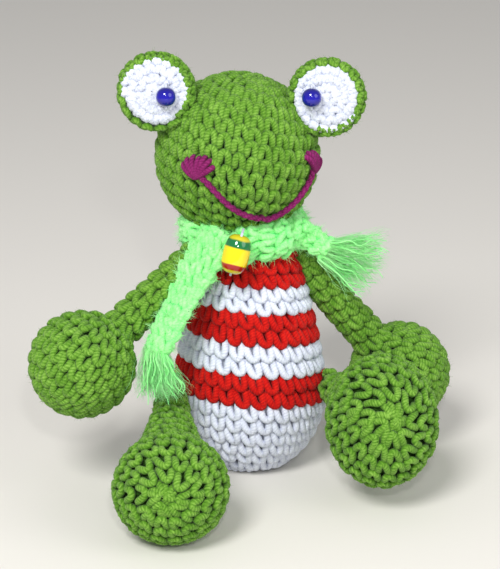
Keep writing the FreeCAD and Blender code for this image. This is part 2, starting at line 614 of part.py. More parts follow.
def make_fringe(side, root, way, sideways):
    """Fan of tapered strands from the end of the scarf."""
    count = int(worth("Sizes.fringe_strands"))
    start = root + way * worth(f"Sizes.{side}_end_length + {SCARF_TUBE} + Sizes.sewn_gap")
    fall = heading(worth(f"Sizes.{side}_fringe_turn"), 90 - worth(f"Sizes.{side}_fringe_lean"))
    outward = sideways.cross(fall).normalize()
    knot = doc.addObject("Part::Cylinder", f"{side}_fringe_knot")
    knot.setExpression("Radius", "Sizes.fringe_radius")
    knot.setExpression("Height", "Sizes.scarf_width")
    half_width = worth("Sizes.scarf_width / 2")
    radius = worth("Sizes.fringe_radius")
    knot.Placement = Placement(start + way * radius - sideways * half_width, facing(sideways, way))
    strands = [knot]
    for number in range(count):
        share = number / max(1, count - 1) - 0.5
        strand = doc.addObject("Part::Cone", f"{side}_fringe_strand_{number}")
        strand.setExpression("Radius1", "Sizes.fringe_radius")
        strand.setExpression("Radius2", "Sizes.fringe_tip_radius")
        strand.setExpression("Height", f"Sizes.{side}_fringe_length")
        fan = Rotation(outward, -share * worth(f"Sizes.{side}_fringe_spread")).multVec(fall)
        place = start + way * radius + sideways * (share * (2 * half_width - 2 * radius))
        strand.Placement = Placement(place, facing(fan, outward))
        strands.append(strand)
    return keep(fused(f"{side}_fringe", strands), f"{side}_scarf_fringe")


right_end, *right_frame = make_end("right")
left_end, *left_frame = make_end("left")
scarf = fused("scarf_whole", [band, right_end, left_end])
keep(cut("scarf_piece", scarf, [head_form, body_form] + arm_forms), "scarf")
make_fringe("right", *right_frame)
make_fringe("left", *left_frame)

bead_out = SCARF_TILT.multVec(heading(worth("Sizes.scarf_bead_turn"), 0))
bead_reach = worth(f"Sizes.scarf_radius + {SCARF_TUBE} + Sizes.scarf_bead_radius + Sizes.sewn_gap")
bead_up = Rotation(bead_out, -worth("Sizes.scarf_bead_tilt")).multVec(SCARF_TILT.multVec(UPRIGHT))
bead_place = SCARF_MIDDLE + bead_out * bead_reach
scarf_bead = ("Sizes.scarf_bead_radius", "Sizes.scarf_bead_length", bead_place, bead_up, bead_out)
make_bead("scarf_bead", *scarf_bead)
make_thread("scarf_bead_thread", *scarf_bead)

doc.recompute()
faults = [item.Label for item in doc.Objects if {"Invalid", "Error"} & set(item.State)]
for node in NODES:
    if node.Shape.isNull() or not node.Shape.isValid() or not node.Shape.Solids:
        faults.append(node.Label)
if faults:
    raise RuntimeError("These pieces failed: " + ", ".join(faults))

os.makedirs("parts", exist_ok=True)
for node in NODES:
    node.Shape.exportStep(os.path.join("parts", node.Label + ".step"))
    box = node.Shape.BoundBox
    corners = [round(size, 1) for size in (box.XMin, box.YMin, box.ZMin, box.XMax, box.YMax, box.ZMax)]
    print(node.Label, len(node.Shape.Solids), "solids", round(node.Shape.Volume / 1000, 2), "cm3", corners)
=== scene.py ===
import math
import bpy
import numpy as np
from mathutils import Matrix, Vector


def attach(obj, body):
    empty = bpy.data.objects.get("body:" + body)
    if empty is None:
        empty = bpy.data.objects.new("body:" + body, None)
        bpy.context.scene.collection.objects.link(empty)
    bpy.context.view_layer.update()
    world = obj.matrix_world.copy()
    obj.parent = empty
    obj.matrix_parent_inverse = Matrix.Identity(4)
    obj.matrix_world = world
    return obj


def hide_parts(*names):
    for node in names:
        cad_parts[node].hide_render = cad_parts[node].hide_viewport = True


# Lengths are in millimetres until a mesh is made, and angles in degrees
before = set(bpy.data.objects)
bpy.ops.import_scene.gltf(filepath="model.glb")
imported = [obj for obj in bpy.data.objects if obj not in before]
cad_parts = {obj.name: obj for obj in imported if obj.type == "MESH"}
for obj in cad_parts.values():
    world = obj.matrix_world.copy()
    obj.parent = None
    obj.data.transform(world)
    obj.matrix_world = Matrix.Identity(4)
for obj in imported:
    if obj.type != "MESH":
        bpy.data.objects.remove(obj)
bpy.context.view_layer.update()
MM = 0.001

# The frog's own places, the same as its solids have
BODY_AXIS = np.array((0.0, 0.0872, 0.9962))
BODY_BASE = np.array((0.0, -0.26, -3.0))
SEAT_HEIGHT = 3.0
SEAT_RADIUS = 10.5
SEAT_ANGLE = 26.3
BODY_RADIUS = 25.0
BODY_UNDER = 29.0
BODY_RISE = 54.2
NECK_RADIUS = 12.5
BELLY_SHAPE = 1.35
HEAD_MIDDLE = np.array((-4.1, 7.0, 103.0))
HEAD_RADIUS = 26.0
HEAD_ROLL = 15.0
EYE_RADIUS = 12.3
EYE_DEPTH = 10.0
WHITE_RADIUS = 10.4
WHITE_RISE = 2.2
SCARF_MIDDLE = np.array((-2.0, 7.0, 79.2))
SCARF_RADIUS = 15.5
SCARF_TILT = 4.0

# One stitch of yarn, as it lies on the surface: its width and height, and the yarn's radius and depth
STITCH_WIDTH = 4.7
ROUND_HEIGHT = 4.6
YARN = 1.24
SUNK = -1.3
FIBRE = 0.04
SPINE_POINTS = 60


def unit(vector):
    return np.asarray(vector, float) / np.linalg.norm(vector)


def units(vectors):
    return vectors / np.maximum(np.linalg.norm(vectors, axis=-1, keepdims=True), 1e-9)


def run_of(line):
    """The length along a line at each of its points."""
    return np.concatenate([[0], np.cumsum(np.linalg.norm(np.diff(line, axis=0), axis=1))])


def srgb(red, green, blue):
    """The linear colour of a screen colour that is given from 0 to 255."""
    parts = [c / 255 for c in (red, green, blue)]
    return tuple(p / 12.92 if p <= 0.04045 else ((p + 0.055) / 1.055) ** 2.4 for p in parts) + (1.0,)


def smooth_line(points, count):
    """A smooth line through a few points, as count points evenly spread over them."""
    points = np.asarray(points, float)
    padded = np.vstack([2 * points[0] - points[1], points, 2 * points[-1] - points[-2]])
    spots = np.linspace(0, len(points) - 1, count)
    index = np.minimum(spots.astype(int), len(points) - 2)
    t = (spots - index)[:, None]
    p0, p1, p2, p3 = (padded[index + k] for k in range(4))
    return 0.5 * (2 * p1 + (p2 - p0) * t + (2 * p0 - 5 * p1 + 4 * p2 - p3) * t ** 2
                  + (3 * p1 - p0 - 3 * p2 + p3) * t ** 3)


# Meshes

class Heap:
    """Vertices and faces that become one piece."""

    def __init__(self):
        self.points = []
        self.faces = []
        self.uvs = []
        self.marks = []
        self.count = 0

    def add(self, points, faces, uvs, mark=0):
        self.points.append(points.reshape(-1, 3))
        self.faces += (faces + self.count).tolist()
        self.uvs.append(uvs.reshape(-1, 2))
        self.marks.append(np.full(len(faces), mark))
        self.count += len(self.points[-1])

    def piece(self, name, slot, materials, *nodes):
        mesh = bpy.data.meshes.new(name)
        mesh.from_pydata((np.vstack(self.points) * MM).tolist(), [], self.faces)
        mesh.uv_layers.new(name="yarn").data.foreach_set("uv", np.vstack(self.uvs).ravel())
        mesh.polygons.foreach_set("material_index", np.concatenate(self.marks).astype(np.int32))
        mesh.polygons.foreach_set("use_smooth", np.ones(len(self.faces), bool))
        for material in materials:
            mesh.materials.append(material)
        mesh.update()
        obj = bpy.data.objects.new(name, mesh)
        bpy.context.scene.collection.objects.link(obj)
        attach(obj, "root")
        if nodes:
            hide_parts(*nodes)
        return obj


def grid_faces(rows, columns):
    """Quads of a grid that closes on itself along its columns, and each corner's row and column."""
    row, column = np.meshgrid(np.arange(rows - 1), np.arange(columns), indexing="ij")
    row, column = row.ravel(), column.ravel()
    rows_of = np.stack([row, row, row + 1, row + 1], 1)
    columns_of = np.stack([column, column + 1, column + 1, column], 1)
    return rows_of * columns + columns_of % columns, rows_of, columns_of


def tubes(heap, lines, radii, sides, ups, mark=0):
    """Closed round tubes along many lines at once, each line a row of lines."""
    count, steps = lines.shape[:2]
    radii = np.broadcast_to(radii, (count, steps))
    ahead = units(np.gradient(lines, axis=1))
    side = units(np.cross(ahead, np.broadcast_to(ups, lines.shape)))
    up = np.cross(side, ahead)
    angle = 2 * np.pi * np.arange(sides) / sides
    ring = np.cos(angle)[:, None] * side[:, :, None, :] + np.sin(angle)[:, None] * up[:, :, None, :]
    points = lines[:, :, None, :] + radii[:, :, None, None] * ring
    quads, rows_of, columns_of = grid_faces(steps, sides)
    step = np.linalg.norm(np.diff(lines, axis=1), axis=2)
    along = np.concatenate([np.zeros((count, 1)), np.cumsum(step, axis=1)], axis=1)
    along += np.arange(count)[:, None] * 3.7
    starts = np.arange(count) * steps * sides
    faces = (quads[None] + starts[:, None, None]).reshape(-1, 4)
    u = along[:, rows_of]
    v = np.broadcast_to(columns_of / sides, u.shape)
    heap.add(points, faces, np.stack([u, v], -1), mark)
    offset = heap.count - count * steps * sides
    for row, turn in ((0, -1), (steps - 1, 1)):
        ends = (starts + row * sides)[:, None] + np.arange(sides)[::turn]
        heap.faces += (ends + offset).tolist()
        heap.uvs.append(np.repeat(along[:, row], sides)[:, None] * (1.0, 0.0))
        heap.marks.append(np.full(count, mark))


def needles(heap, lines, radius, mark=0):
    """Fine hairs, three-sided and closed, each tapering to its line's last point."""
    count, steps = lines.shape[:2]
    ahead = units(np.gradient(lines, axis=1))
    side = units(np.cross(ahead, (0.31, 0.42, 0.85)))
    up = np.cross(side, ahead)
    angle = 2 * np.pi * np.arange(3) / 3
    ring = np.cos(angle)[:, None] * side[:, :-1, None, :] + np.sin(angle)[:, None] * up[:, :-1, None, :]
    thick = (radius * np.linspace(1, 0.45, steps - 1))[None, :, None, None]
    body = (lines[:, :-1, None, :] + thick * ring).reshape(count, -1, 3)
    points = np.concatenate([body, lines[:, -1:, :]], axis=1)
    each = points.shape[1]
    quads = grid_faces(steps - 1, 3)[0]
    starts = (np.arange(count) * each)[:, None, None]
    heap.add(points, (quads[None] + starts).reshape(-1, 4), np.zeros((count * len(quads) * 4, 2)), mark)
    last = (steps - 2) * 3
    caps = np.array([[last, last + 1, each - 1], [last + 1, last + 2, each - 1], [last + 2, last, each - 1],
                     [2, 1, 0]])
    offset = heap.count - count * each
    heap.faces += ((caps[None] + starts).reshape(-1, 3) + offset).tolist()
    heap.uvs.append(np.zeros((count * 12, 2)))
    heap.marks.append(np.full(count * 4, mark))


BEAD_SIDES = 48


def ring_of(heap, middle, axis, profile):
    """A closed ring turned about an axis, from a closed outline of lengths along it and radii."""
    profile = np.asarray(profile, float)
    axis = unit(axis)
    first = unit(np.cross(axis, (0.3, 1.0, 0.2)))
    second = np.cross(axis, first)
    angle = 2 * np.pi * np.arange(BEAD_SIDES) / BEAD_SIDES
    around = np.cos(angle)[:, None] * first + np.sin(angle)[:, None] * second
    points = middle + profile[:, 0, None, None] * axis + profile[:, 1, None, None] * around[None]
    quads, rows_of, columns_of = grid_faces(len(profile) + 1, BEAD_SIDES)
    span = np.append(profile[:, 0], profile[0, 0])
    along = (span - span.min()) / (span.max() - span.min())
    around_of = columns_of / BEAD_SIDES
    heap.add(points, quads % (len(profile) * BEAD_SIDES), np.stack([along[rows_of], around_of], -1))


# Surfaces that the stitches lie on

class Skin:
    """A round surface about a centre line: an outline of lengths along that line and radii."""

    def __init__(self, spine, outline, side=(1.0, 0.0, 0.0), squash=1.0):
        spine = np.asarray(spine, float)
        self.along = run_of(spine)
        self.spine = spine
        self.ahead = units(np.gradient(spine, axis=0))
        first = []
        vector = np.asarray(side, float)
        for way in self.ahead:
            vector = unit(vector - way * (vector @ way))
            first.append(vector)
        self.first = np.array(first)
        self.second = np.cross(self.ahead, self.first)
        self.outline = np.asarray(outline, float)
        self.length = run_of(self.outline)
        self.slope = units(np.gradient(self.outline, self.length, axis=0))
        self.squash = squash

    def radius(self, m):
        return np.interp(m, self.length, self.outline[:, 1])

    def at(self, m, angle):
        """Places on the surface and the ways out of it, at lengths m along the outline and at angles."""
        m = np.clip(m, 0, self.length[-1])
        a, r = (np.interp(m, self.length, self.outline[:, k]) for k in (0, 1))
        da, dr = (np.interp(m, self.length, self.slope[:, k])[..., None] for k in (0, 1))
        centre, first, second, ahead = (
            np.stack([np.interp(a, self.along, table[:, k]) for k in range(3)], -1)
            for table in (self.spine, self.first, self.second, self.ahead))
        across = np.cos(angle)[..., None] * first
        upward = np.sin(angle)[..., None] * second
        place = centre + r[..., None] * (across + self.squash * upward)
        out = units(da * (across + upward / self.squash) - dr * ahead)
        return place, out

    def core(self, heap, inset, mark, rows=48, columns=40, low=0.0, high=None):
        """A closed surface under the yarn, coloured as painted shade, which shows dark between the stitches.
        """
        m = np.linspace(low, self.length[-1] if high is None else high, rows)[:, None]
        angle = (2 * np.pi * np.arange(columns) / columns)[None, :]
        place, out = self.at(*np.broadcast_arrays(m, angle))
        points = place - inset * out
        quads, rows_of, columns_of = grid_faces(rows, columns)
        heap.add(points, quads, np.stack([rows_of, columns_of], -1) * 1.0, mark)
        offset = heap.count - rows * columns
        for row, turn in ((0, -1), (rows - 1, 1)):
            ring = offset + row * columns + np.arange(columns)[::turn]
            heap.faces.append(ring.tolist())
            heap.uvs.append(np.zeros((columns, 2)))
            heap.marks.append(np.array([mark]))


# Half of one stitch from the bottom of its loop: across and up in stitches, and out in millimetres
HALF_STITCH = [(0.0, -0.47, 0.50), (0.125, -0.43, 0.55), (0.225, -0.30, 0.60), (0.275, -0.10, 0.50),
               (0.30, 0.12, 0.15), (0.325, 0.34, -0.4), (0.36, 0.54, -1.2)]
STITCH = np.array([(-x, y, z) for x, y, z in HALF_STITCH[:0:-1]] + HALF_STITCH)


def stitch_lines(skin, edges, width, dice, lean=0.22, spiral=-1, slant=0.0, rise=SUNK, wild=1.0):
    """The yarn's line in each stitch of each round, the ways out of the surface, and each stitch's round."""
    lines, outs, rounds = [], [], []
    start = dice.uniform(0, 6)
    for index, (low, high) in enumerate(zip(edges[:-1], edges[1:])):
        middle = (low + high) / 2
        radius = max(float(skin.radius(middle)), 0.6)
        count = max(6, int(round(2 * np.pi * radius / width)))
        wide = 2 * np.pi / count
        start += 0.5 * wide
        turn = np.arange(count)
        angle = (start + wide * (turn + wild * dice.uniform(-0.06, 0.06, count)))[:, None]
        tall = high - low
        up = (tall * spiral * (turn / count - 0.5) + wild * dice.uniform(-0.05, 0.05, count) * tall)[:, None]
        size = 1 + wild * dice.uniform(-0.1, 0.1, (count, 1))
        leaning = lean * STITCH[:, 1][None] * (1 + wild * dice.uniform(-0.5, 0.5, (count, 1)))
        x = STITCH[:, 0][None] * size - leaning
        x = x + wild * dice.uniform(-0.02, 0.02, (count, len(STITCH)))
        y = STITCH[:, 1][None] * (1 + wild * dice.uniform(-0.06, 0.06, (count, 1)))
        z = STITCH[:, 2][None] + wild * dice.uniform(-0.16, 0.16, (count, 1)) + rise
        tilt = slant * radius * np.cos(angle)
        spot_m = middle + up + tilt + y * tall
        spot_a = angle + x * wide
        place, out = skin.at(*np.broadcast_arrays(spot_m, spot_a))
        lines.append(place + out * z[..., None])
        outs.append(out)
        rounds.append(np.full(count, index))
    return np.concatenate(lines), np.concatenate(outs), np.concatenate(rounds)


def fuzz(heap, lines, outs, dice, each, length, radius, mark):
    """Loose fibres that stand a little way off the yarn, so many for each stitch."""
    count, steps = lines.shape[:2]
    which = dice.randint(0, count, int(count * each))
    step = dice.randint(3, steps - 3, len(which))
    out = outs[which, step]
    base = lines[which, step] + out * YARN * 0.6
    way = units(out + dice.normal(0, 1, base.shape))
    way = units(way + 0.25 * out)
    bend = units(dice.normal(0, 1, base.shape))
    long = length * dice.uniform(0.4, 1.0, (len(which), 1))
    t = np.linspace(0, 1, 4)
    curve = way[:, None, :] * t[None, :, None] + 0.45 * bend[:, None, :] * (t ** 2)[None, :, None]
    hair = base[:, None, :] + long[:, None, :] * curve
    needles(heap, hair, radius, mark)


def spread(low, high, height):
    """Edges of whole rounds between two lengths."""
    return np.linspace(low, high, max(2, int(round((high - low) / height)) + 1))


# Outlines

def arc(centre, radius, start, end, count):
    """Outline points of an arc, as lengths along the axis and radii, by angles from the axis."""
    angle = np.radians(np.linspace(start, end, count))
    return [(centre - radius * math.cos(a), radius * math.sin(a)) for a in angle]


def straight(base, way, length):
    """A straight centre line."""
    return np.asarray(base)[None] + np.linspace(0, length, SPINE_POINTS)[:, None] * unit(way)[None]


# Materials

def node(tree, kind, **values):
    made = tree.nodes.new(kind)
    for key, value in values.items():
        setattr(made, key, value)
    return made


def link(tree, source, target):
    tree.links.new(source, target)


def maths(tree, operation, *values):
    made = node(tree, "ShaderNodeMath", operation=operation)
    for socket, value in zip(made.inputs, values):
        if isinstance(value, (int, float)):
            socket.default_value = value
        else:
            link(tree, value, socket)
    return made.outputs[0]


def noise(tree, vector, scale, detail):
    made = node(tree, "ShaderNodeTexNoise")
    made.inputs["Scale"].default_value = scale
    made.inputs["Detail"].default_value = detail
    link(tree, vector, made.inputs["Vector"])
    return made.outputs["Fac"]


def ramp(tree, factor, *stops):
    made = node(tree, "ShaderNodeValToRGB")
    link(tree, factor, made.inputs["Fac"])
    elements = made.color_ramp.elements
    while len(elements) < len(stops):
        elements.new(0.5)
    for element, (place, colour) in zip(elements, stops):
        element.position = place
        element.color = colour
    return made.outputs["Color"]


def new_material(name, rough, sheen=0.0):
    material = bpy.data.materials.new(name)
    material.use_nodes = True
    tree = material.node_tree
    shader = tree.nodes["Principled BSDF"]
    shader.inputs["Roughness"].default_value = rough
    shader.inputs["Sheen Weight"].default_value = sheen
    shader.inputs["Sheen Roughness"].default_value = 0.5
    return material, tree, shader


PLIES = 3
TURNS_PER_MM = 0.42


def yarn(name, dark, middle, light, sheen=0.15, depth=0.3, ply=0.12):
    """Yarn: fine fibres and faint plies from the line's own coordinates; painted shade darkens the grooves
    between plies and each strand's underside, low between the loops, and painted light makes each strand's
    top lighter.
    """
    material, tree, shader = new_material(name, 0.9, sheen)
    shader.inputs["Specular IOR Level"].default_value = 0.15
    where = node(tree, "ShaderNodeTexCoord")
    split = node(tree, "ShaderNodeSeparateXYZ")
    link(tree, where.outputs["UV"], split.inputs[0])
    along, around = split.outputs["X"], split.outputs["Y"]
    turned = maths(tree, "MULTIPLY_ADD", along, TURNS_PER_MM, around)
    wave = maths(tree, "SINE", maths(tree, "MULTIPLY", turned, 2 * math.pi * PLIES))
    streak = node(tree, "ShaderNodeCombineXYZ")
    link(tree, maths(tree, "MULTIPLY", along, 0.9), streak.inputs[0])
    link(tree, maths(tree, "MULTIPLY", turned, 9.0), streak.inputs[1])
    fibres = noise(tree, streak.outputs[0], 1.6, 5)
    fine = noise(tree, where.outputs["Object"], 1500, 3)
    slow = noise(tree, where.outputs["Object"], 260, 2)
    # painted light and shade: the outward top of each strand lighter and its underside darker, whatever the
    # lamps
    painted_light_top_dark_underside = maths(tree, "SINE", maths(tree, "MULTIPLY", around, 2 * math.pi))
    # the ply wave also paints faint shade into the grooves between plies, besides the random fibre streaks
    mixed = maths(tree, "MULTIPLY_ADD", wave, ply * 0.5, maths(tree, "MULTIPLY", fibres, 0.5))
    mixed = maths(tree, "MULTIPLY_ADD", slow, 0.3, mixed)
    mixed = maths(tree, "MULTIPLY_ADD", fine, 0.3, mixed)
    mixed = maths(tree, "MULTIPLY_ADD", painted_light_top_dark_underside, 0.16, mixed)
    colour = ramp(tree, mixed, (0.38, dark), (0.64, middle), (0.86, light))
    link(tree, colour, shader.inputs["Base Color"])
    height = maths(tree, "MULTIPLY_ADD", wave, ply * 2.0, maths(tree, "ADD", fibres, fine))
    bump = node(tree, "ShaderNodeBump")
    bump.inputs["Strength"].default_value = depth
    bump.inputs["Distance"].default_value = 0.0008
    link(tree, height, bump.inputs["Height"])
    link(tree, bump.outputs["Normal"], shader.inputs["Normal"])
    return material


def fibre(name, colour, light):
    """Loose fibres, with slow changes of shade."""
    material, tree, shader = new_material(name, 0.7, 0.2)
    where = node(tree, "ShaderNodeTexCoord")
    slow = noise(tree, where.outputs["Object"], 150, 2)
    link(tree, ramp(tree, slow, (0.35, colour), (0.7, light)), shader.inputs["Base Color"])
    return material


def glass(name, bands):
    """A polished bead. bands are pairs of a height along the bead and a colour."""
    material, tree, shader = new_material(name, 0.08)
    shader.inputs["Coat Weight"].default_value = 0.5
    shader.inputs["Coat Roughness"].default_value = 0.03
    where = node(tree, "ShaderNodeTexCoord")
    split = node(tree, "ShaderNodeSeparateXYZ")
    link(tree, where.outputs["UV"], split.inputs[0])
    wobble = noise(tree, where.outputs["UV"], 5, 1)
    spot = maths(tree, "MULTIPLY_ADD", wobble, 0.05, split.outputs["X"])
    link(tree, ramp(tree, spot, *bands), shader.inputs["Base Color"])
    return material


GREEN_YARN = yarn("green_yarn", srgb(38, 70, 12), srgb(84, 132, 33), srgb(134, 178, 74), sheen=0.08)
# The green, white and red core materials are darker copies of their yarn: painted shade for the surface that
# shows in the gaps between stitches
GREEN_PAINTED_SHADE = yarn("green_painted_shade", srgb(22, 44, 8), srgb(34, 64, 13), srgb(46, 84, 18), sheen=0.0)
GREEN_FIBRE = fibre("green_fibre", srgb(84, 130, 40), srgb(124, 164, 80))
WHITE_YARN = yarn("white_yarn", srgb(172, 178, 196), srgb(206, 211, 226), srgb(228, 232, 242), sheen=0.08)
WHITE_PAINTED_SHADE = yarn("white_painted_shade", srgb(166, 172, 190), srgb(186, 192, 208), srgb(200, 206, 220), sheen=0.0)
WHITE_FIBRE = fibre("white_fibre", srgb(205, 211, 226), srgb(228, 232, 242))
RED_YARN = yarn("red_yarn", srgb(112, 2, 2), srgb(178, 9, 7), srgb(214, 34, 22), sheen=0.06)
RED_PAINTED_SHADE = yarn("red_painted_shade", srgb(70, 2, 2), srgb(96, 4, 4), srgb(120, 8, 6), sheen=0.0)
RED_FIBRE = fibre("red_fibre", srgb(178, 16, 12), srgb(214, 50, 36))
SCARF_YARN = yarn("scarf_yarn", srgb(96, 214, 120), srgb(142, 244, 140), srgb(190, 255, 176),
                  sheen=0.3, ply=0.05)
# The scarf strip's material is a slightly darker copy of the scarf yarn: painted shade between the pile loops
SCARF_STRIP_PAINTED_SHADE = yarn("scarf_strip_painted_shade", srgb(80, 196, 104), srgb(110, 222, 122), srgb(140, 240, 140),
                  sheen=0.2, ply=0.0)
SCARF_FIBRE = fibre("scarf_fibre", srgb(140, 240, 142), srgb(196, 255, 186))
MAGENTA_YARN = yarn("magenta_yarn", srgb(58, 6, 34), srgb(112, 24, 80), srgb(146, 44, 110),
                    sheen=0.04, depth=0.12)
THREAD = yarn("thread", srgb(172, 178, 196), srgb(206, 211, 226), srgb(228, 232, 242))
BLUE = glass("blue_bead", [(0.0, srgb(8, 3, 110)), (0.5, srgb(12, 4, 160)), (1.0, srgb(8, 3, 110))])
YELLOW = srgb(244, 214, 10)
LEAF = srgb(8, 112, 56)
BRICK = srgb(160, 16, 8)
LIME = srgb(206, 196, 40)
YELLOW_BEAD = glass("yellow_bead", [(0.0, LIME), (0.10, LIME), (0.14, BRICK), (0.25, BRICK), (0.28, YELLOW),
                                    (0.68, YELLOW), (0.72, LEAF), (0.88, LEAF), (0.92, LIME)])
GREENS = (GREEN_YARN, GREEN_PAINTED_SHADE, GREEN_FIBRE)
WHITES = (WHITE_YARN, WHITE_PAINTED_SHADE, WHITE_FIBRE)


def crochet(name, skins, nodes, seed, kinds=GREENS, slot="green_yarn", width=STITCH_WIDTH, thick=YARN,
            each=7, long=1.7, **ways):
    """One crocheted piece: its stitches, the surface under them, coloured as painted shade, and its loose
    fibres.
    Each skin comes with the edges of its rounds and what tells which places on it are hidden, or None."""
    dice = np.random.RandomState(seed)
    heap = Heap()
    for skin, edges, hidden in skins:
        lines, outs, _ = stitch_lines(skin, edges, width, dice, **ways)
        if hidden:
            seen = ~hidden(lines[:, len(STITCH) // 2])
            lines, outs = lines[seen], outs[seen]
        tubes(heap, lines, thick, 8, outs, 0)
        # the surface under the stitches, darker with painted shade
        skin.core(heap, 0.8 - ways.get("rise", SUNK), 1)
        fuzz(heap, lines, outs, dice, each, long, FIBRE, 2)
    return heap.piece(name, slot, kinds, *nodes)


# Head: one ball, its rounds rolled to one side
def make_head():
    top = np.array((math.sin(math.radians(HEAD_ROLL)), 0, math.cos(math.radians(HEAD_ROLL))))
    spine = straight(HEAD_MIDDLE + HEAD_RADIUS * top, -top, 2 * HEAD_RADIUS)
    skin = Skin(spine, arc(HEAD_RADIUS, HEAD_RADIUS, 0, 180, 90))
    edges = spread(0, skin.length[-1], ROUND_HEIGHT)
    piece = crochet("head_ball", [(skin, edges, None)], ["head"], 11)


# Body: an egg with a flat seat, its stripes two rounds high above the white seat
RED_FROM = 9
STRIPE_ROUNDS = 2
LAST_RED_FROM = 17
UPPER_EDGES = [46.2, 51.0, 55.9, 60.7, 65.8, 70.9, 75.0, 79.1, 83.5, 87.9, 92.5, 97.5]
BODY_EDGES = list(np.linspace(0, 41.4, RED_FROM + 1)) + UPPER_EDGES
BODY_STITCH = 5.2
BODY_YARN = 1.28
BODY_FIBRES = 8
BODY_FIBRE_LENGTH = 1.9
ROUND_SLANT = -0.06


def make_body():
    seat = [(SEAT_HEIGHT, r) for r in [0.0, *np.linspace(1, SEAT_RADIUS, 10)]]
    under = [(BODY_UNDER - BODY_UNDER * math.cos(a), BODY_RADIUS * math.sin(a))
             for a in np.radians(np.linspace(SEAT_ANGLE, 90, 40))]
    upper = [(BODY_UNDER + BODY_RISE * s, BODY_RADIUS - (BODY_RADIUS - NECK_RADIUS) * s ** BELLY_SHAPE)
             for s in np.linspace(0.02, 1.0, 40)]
    skin = Skin(straight(BODY_BASE, BODY_AXIS, 90), seat + under + upper)

    def is_red(index):
        striped = index >= RED_FROM and (index - RED_FROM) // STRIPE_ROUNDS % 2 == 0
        return striped or index >= LAST_RED_FROM

    dice = np.random.RandomState(21)
    lines, outs, rounds = stitch_lines(skin, BODY_EDGES, BODY_STITCH, dice, slant=ROUND_SLANT)
    red = np.array([is_red(index) for index in rounds])
    white = Heap()
    tubes(white, lines[~red], BODY_YARN, 8, outs[~red], 0)
    # painted shade: a darker surface under the white stitches
    skin.core(white, 2.1, 1, rows=60)
    fuzz(white, lines[~red], outs[~red], dice, BODY_FIBRES, BODY_FIBRE_LENGTH, FIBRE, 2)
    piece = white.piece("body_cover", "white_yarn", WHITES, "body")
    stripes = Heap()
    tubes(stripes, lines[red], BODY_YARN, 8, outs[red], 0)
    for first in range(RED_FROM, len(BODY_EDGES) - 1, 2 * STRIPE_ROUNDS):
        last = min(first + STRIPE_ROUNDS, len(BODY_EDGES) - 1)
        # painted shade: a darker surface under each red stripe
        skin.core(stripes, 1.7, 2, rows=12, low=BODY_EDGES[first], high=BODY_EDGES[last] - 0.6)
    fuzz(stripes, lines[red], outs[red], dice, BODY_FIBRES, BODY_FIBRE_LENGTH, FIBRE, 1)
    stripes.piece("body_red_rounds", "red_yarn", (RED_YARN, RED_FIBRE, RED_PAINTED_SHADE), "body")


# Arms: a ball hand and a tube, worked from the finger end
HAND_RADIUS = 16.5
ARM_RADIUS = 5.4
WRIST_RADIUS = 6.2
ARM_STITCH = 4.6
ARM_ROUND = 4.4


def make_arm(name, shoulder, hand, seed):
    way = unit(np.subtract(shoulder, hand))
    length = float(np.linalg.norm(np.subtract(shoulder, hand)))
    back = math.degrees(math.asin(WRIST_RADIUS / HAND_RADIUS))
    outline = arc(HAND_RADIUS, HAND_RADIUS, 0, 180 - back, 60)
    wrist = outline[-1][0]
    end = HAND_RADIUS + length
    outline += [(wrist + (end - wrist) * s, WRIST_RADIUS + (ARM_RADIUS - WRIST_RADIUS) * s)
                for s in np.linspace(0.06, 1, 30)]
    spine = straight(np.asarray(hand) - HAND_RADIUS * way, way, end)
    skin = Skin(spine, outline, side=(0, 0, 1))
    edges = spread(0, skin.length[-1], ARM_ROUND)
    piece = crochet(f"{name}_cover", [(skin, edges, None)], [name], seed, width=ARM_STITCH)


# Legs: an oval foot worked from the sole, and a leg that widens from the hip to the ankle
FOOT_RADIUS = 17.4
LEG_RADIUS = 4.6
ANKLE_RADIUS = 12.6
ANKLE_FROM = 11.0
LEG_STITCH = 5.0
FOOT_ROUND = 4.7
LEG_ROUND = 4.5
LEG_YARN = 1.22
FIRST_LEG_ROUND = 8


def make_leg(name, hip, foot, sole, squash, seed):
    hip, foot, sole = np.asarray(hip, float), np.asarray(foot, float), unit(sole)
    ball = Skin(straight(foot + FOOT_RADIUS * sole, -sole, 2 * FOOT_RADIUS),
                arc(FOOT_RADIUS, FOOT_RADIUS, 0, 180, 60), side=(1, 0, 0), squash=squash)
    length = float(np.linalg.norm(hip - foot))
    along = np.linspace(0, length, SPINE_POINTS)
    share = ((length - along) / (length - ANKLE_FROM)).clip(0, 1)
    bell = LEG_RADIUS + (ANKLE_RADIUS - LEG_RADIUS) * share ** 2
    spine = straight(foot, hip - foot, length)
    leg = Skin(spine, np.stack([along, bell], 1), side=(1, 0, 0), squash=0.5 + 0.5 * squash)
    first, second = ball.first[0], ball.second[0]

    def in_ball(places):
        across = places - foot
        spots = np.stack([across @ first, across @ second / squash, across @ sole], -1)
        return np.linalg.norm(spots, axis=-1) < 0.93 * FOOT_RADIUS

    def in_leg(places):
        apart = np.linalg.norm(places[:, None] - spine[None], axis=-1)
        return (apart - np.interp(leg.along, along, bell)).min(axis=1) < -1.5

    parts = [(ball, spread(0, ball.length[-1], FOOT_ROUND), in_leg),
             (leg, spread(FIRST_LEG_ROUND, leg.length[-1], LEG_ROUND), in_ball)]
    piece = crochet(f"{name}_cover", parts, [name], seed, width=LEG_STITCH, thick=LEG_YARN)


# Eyes: a green cup, a white disc and a bead on a thread
CUP_LIP = 0.9
CUP_STITCH = 4.0
CUP_ROUND = 3.6
CUP_YARN = 1.05
DISC_ROUNDS = 4
DISC_STITCH = 3.2
DISC_YARN = 1.2
DISC_SUNK = -0.85
PUPIL_RADIUS = 3.05
PUPIL_HALF = 2.95
PUPIL_OUT = 3.15


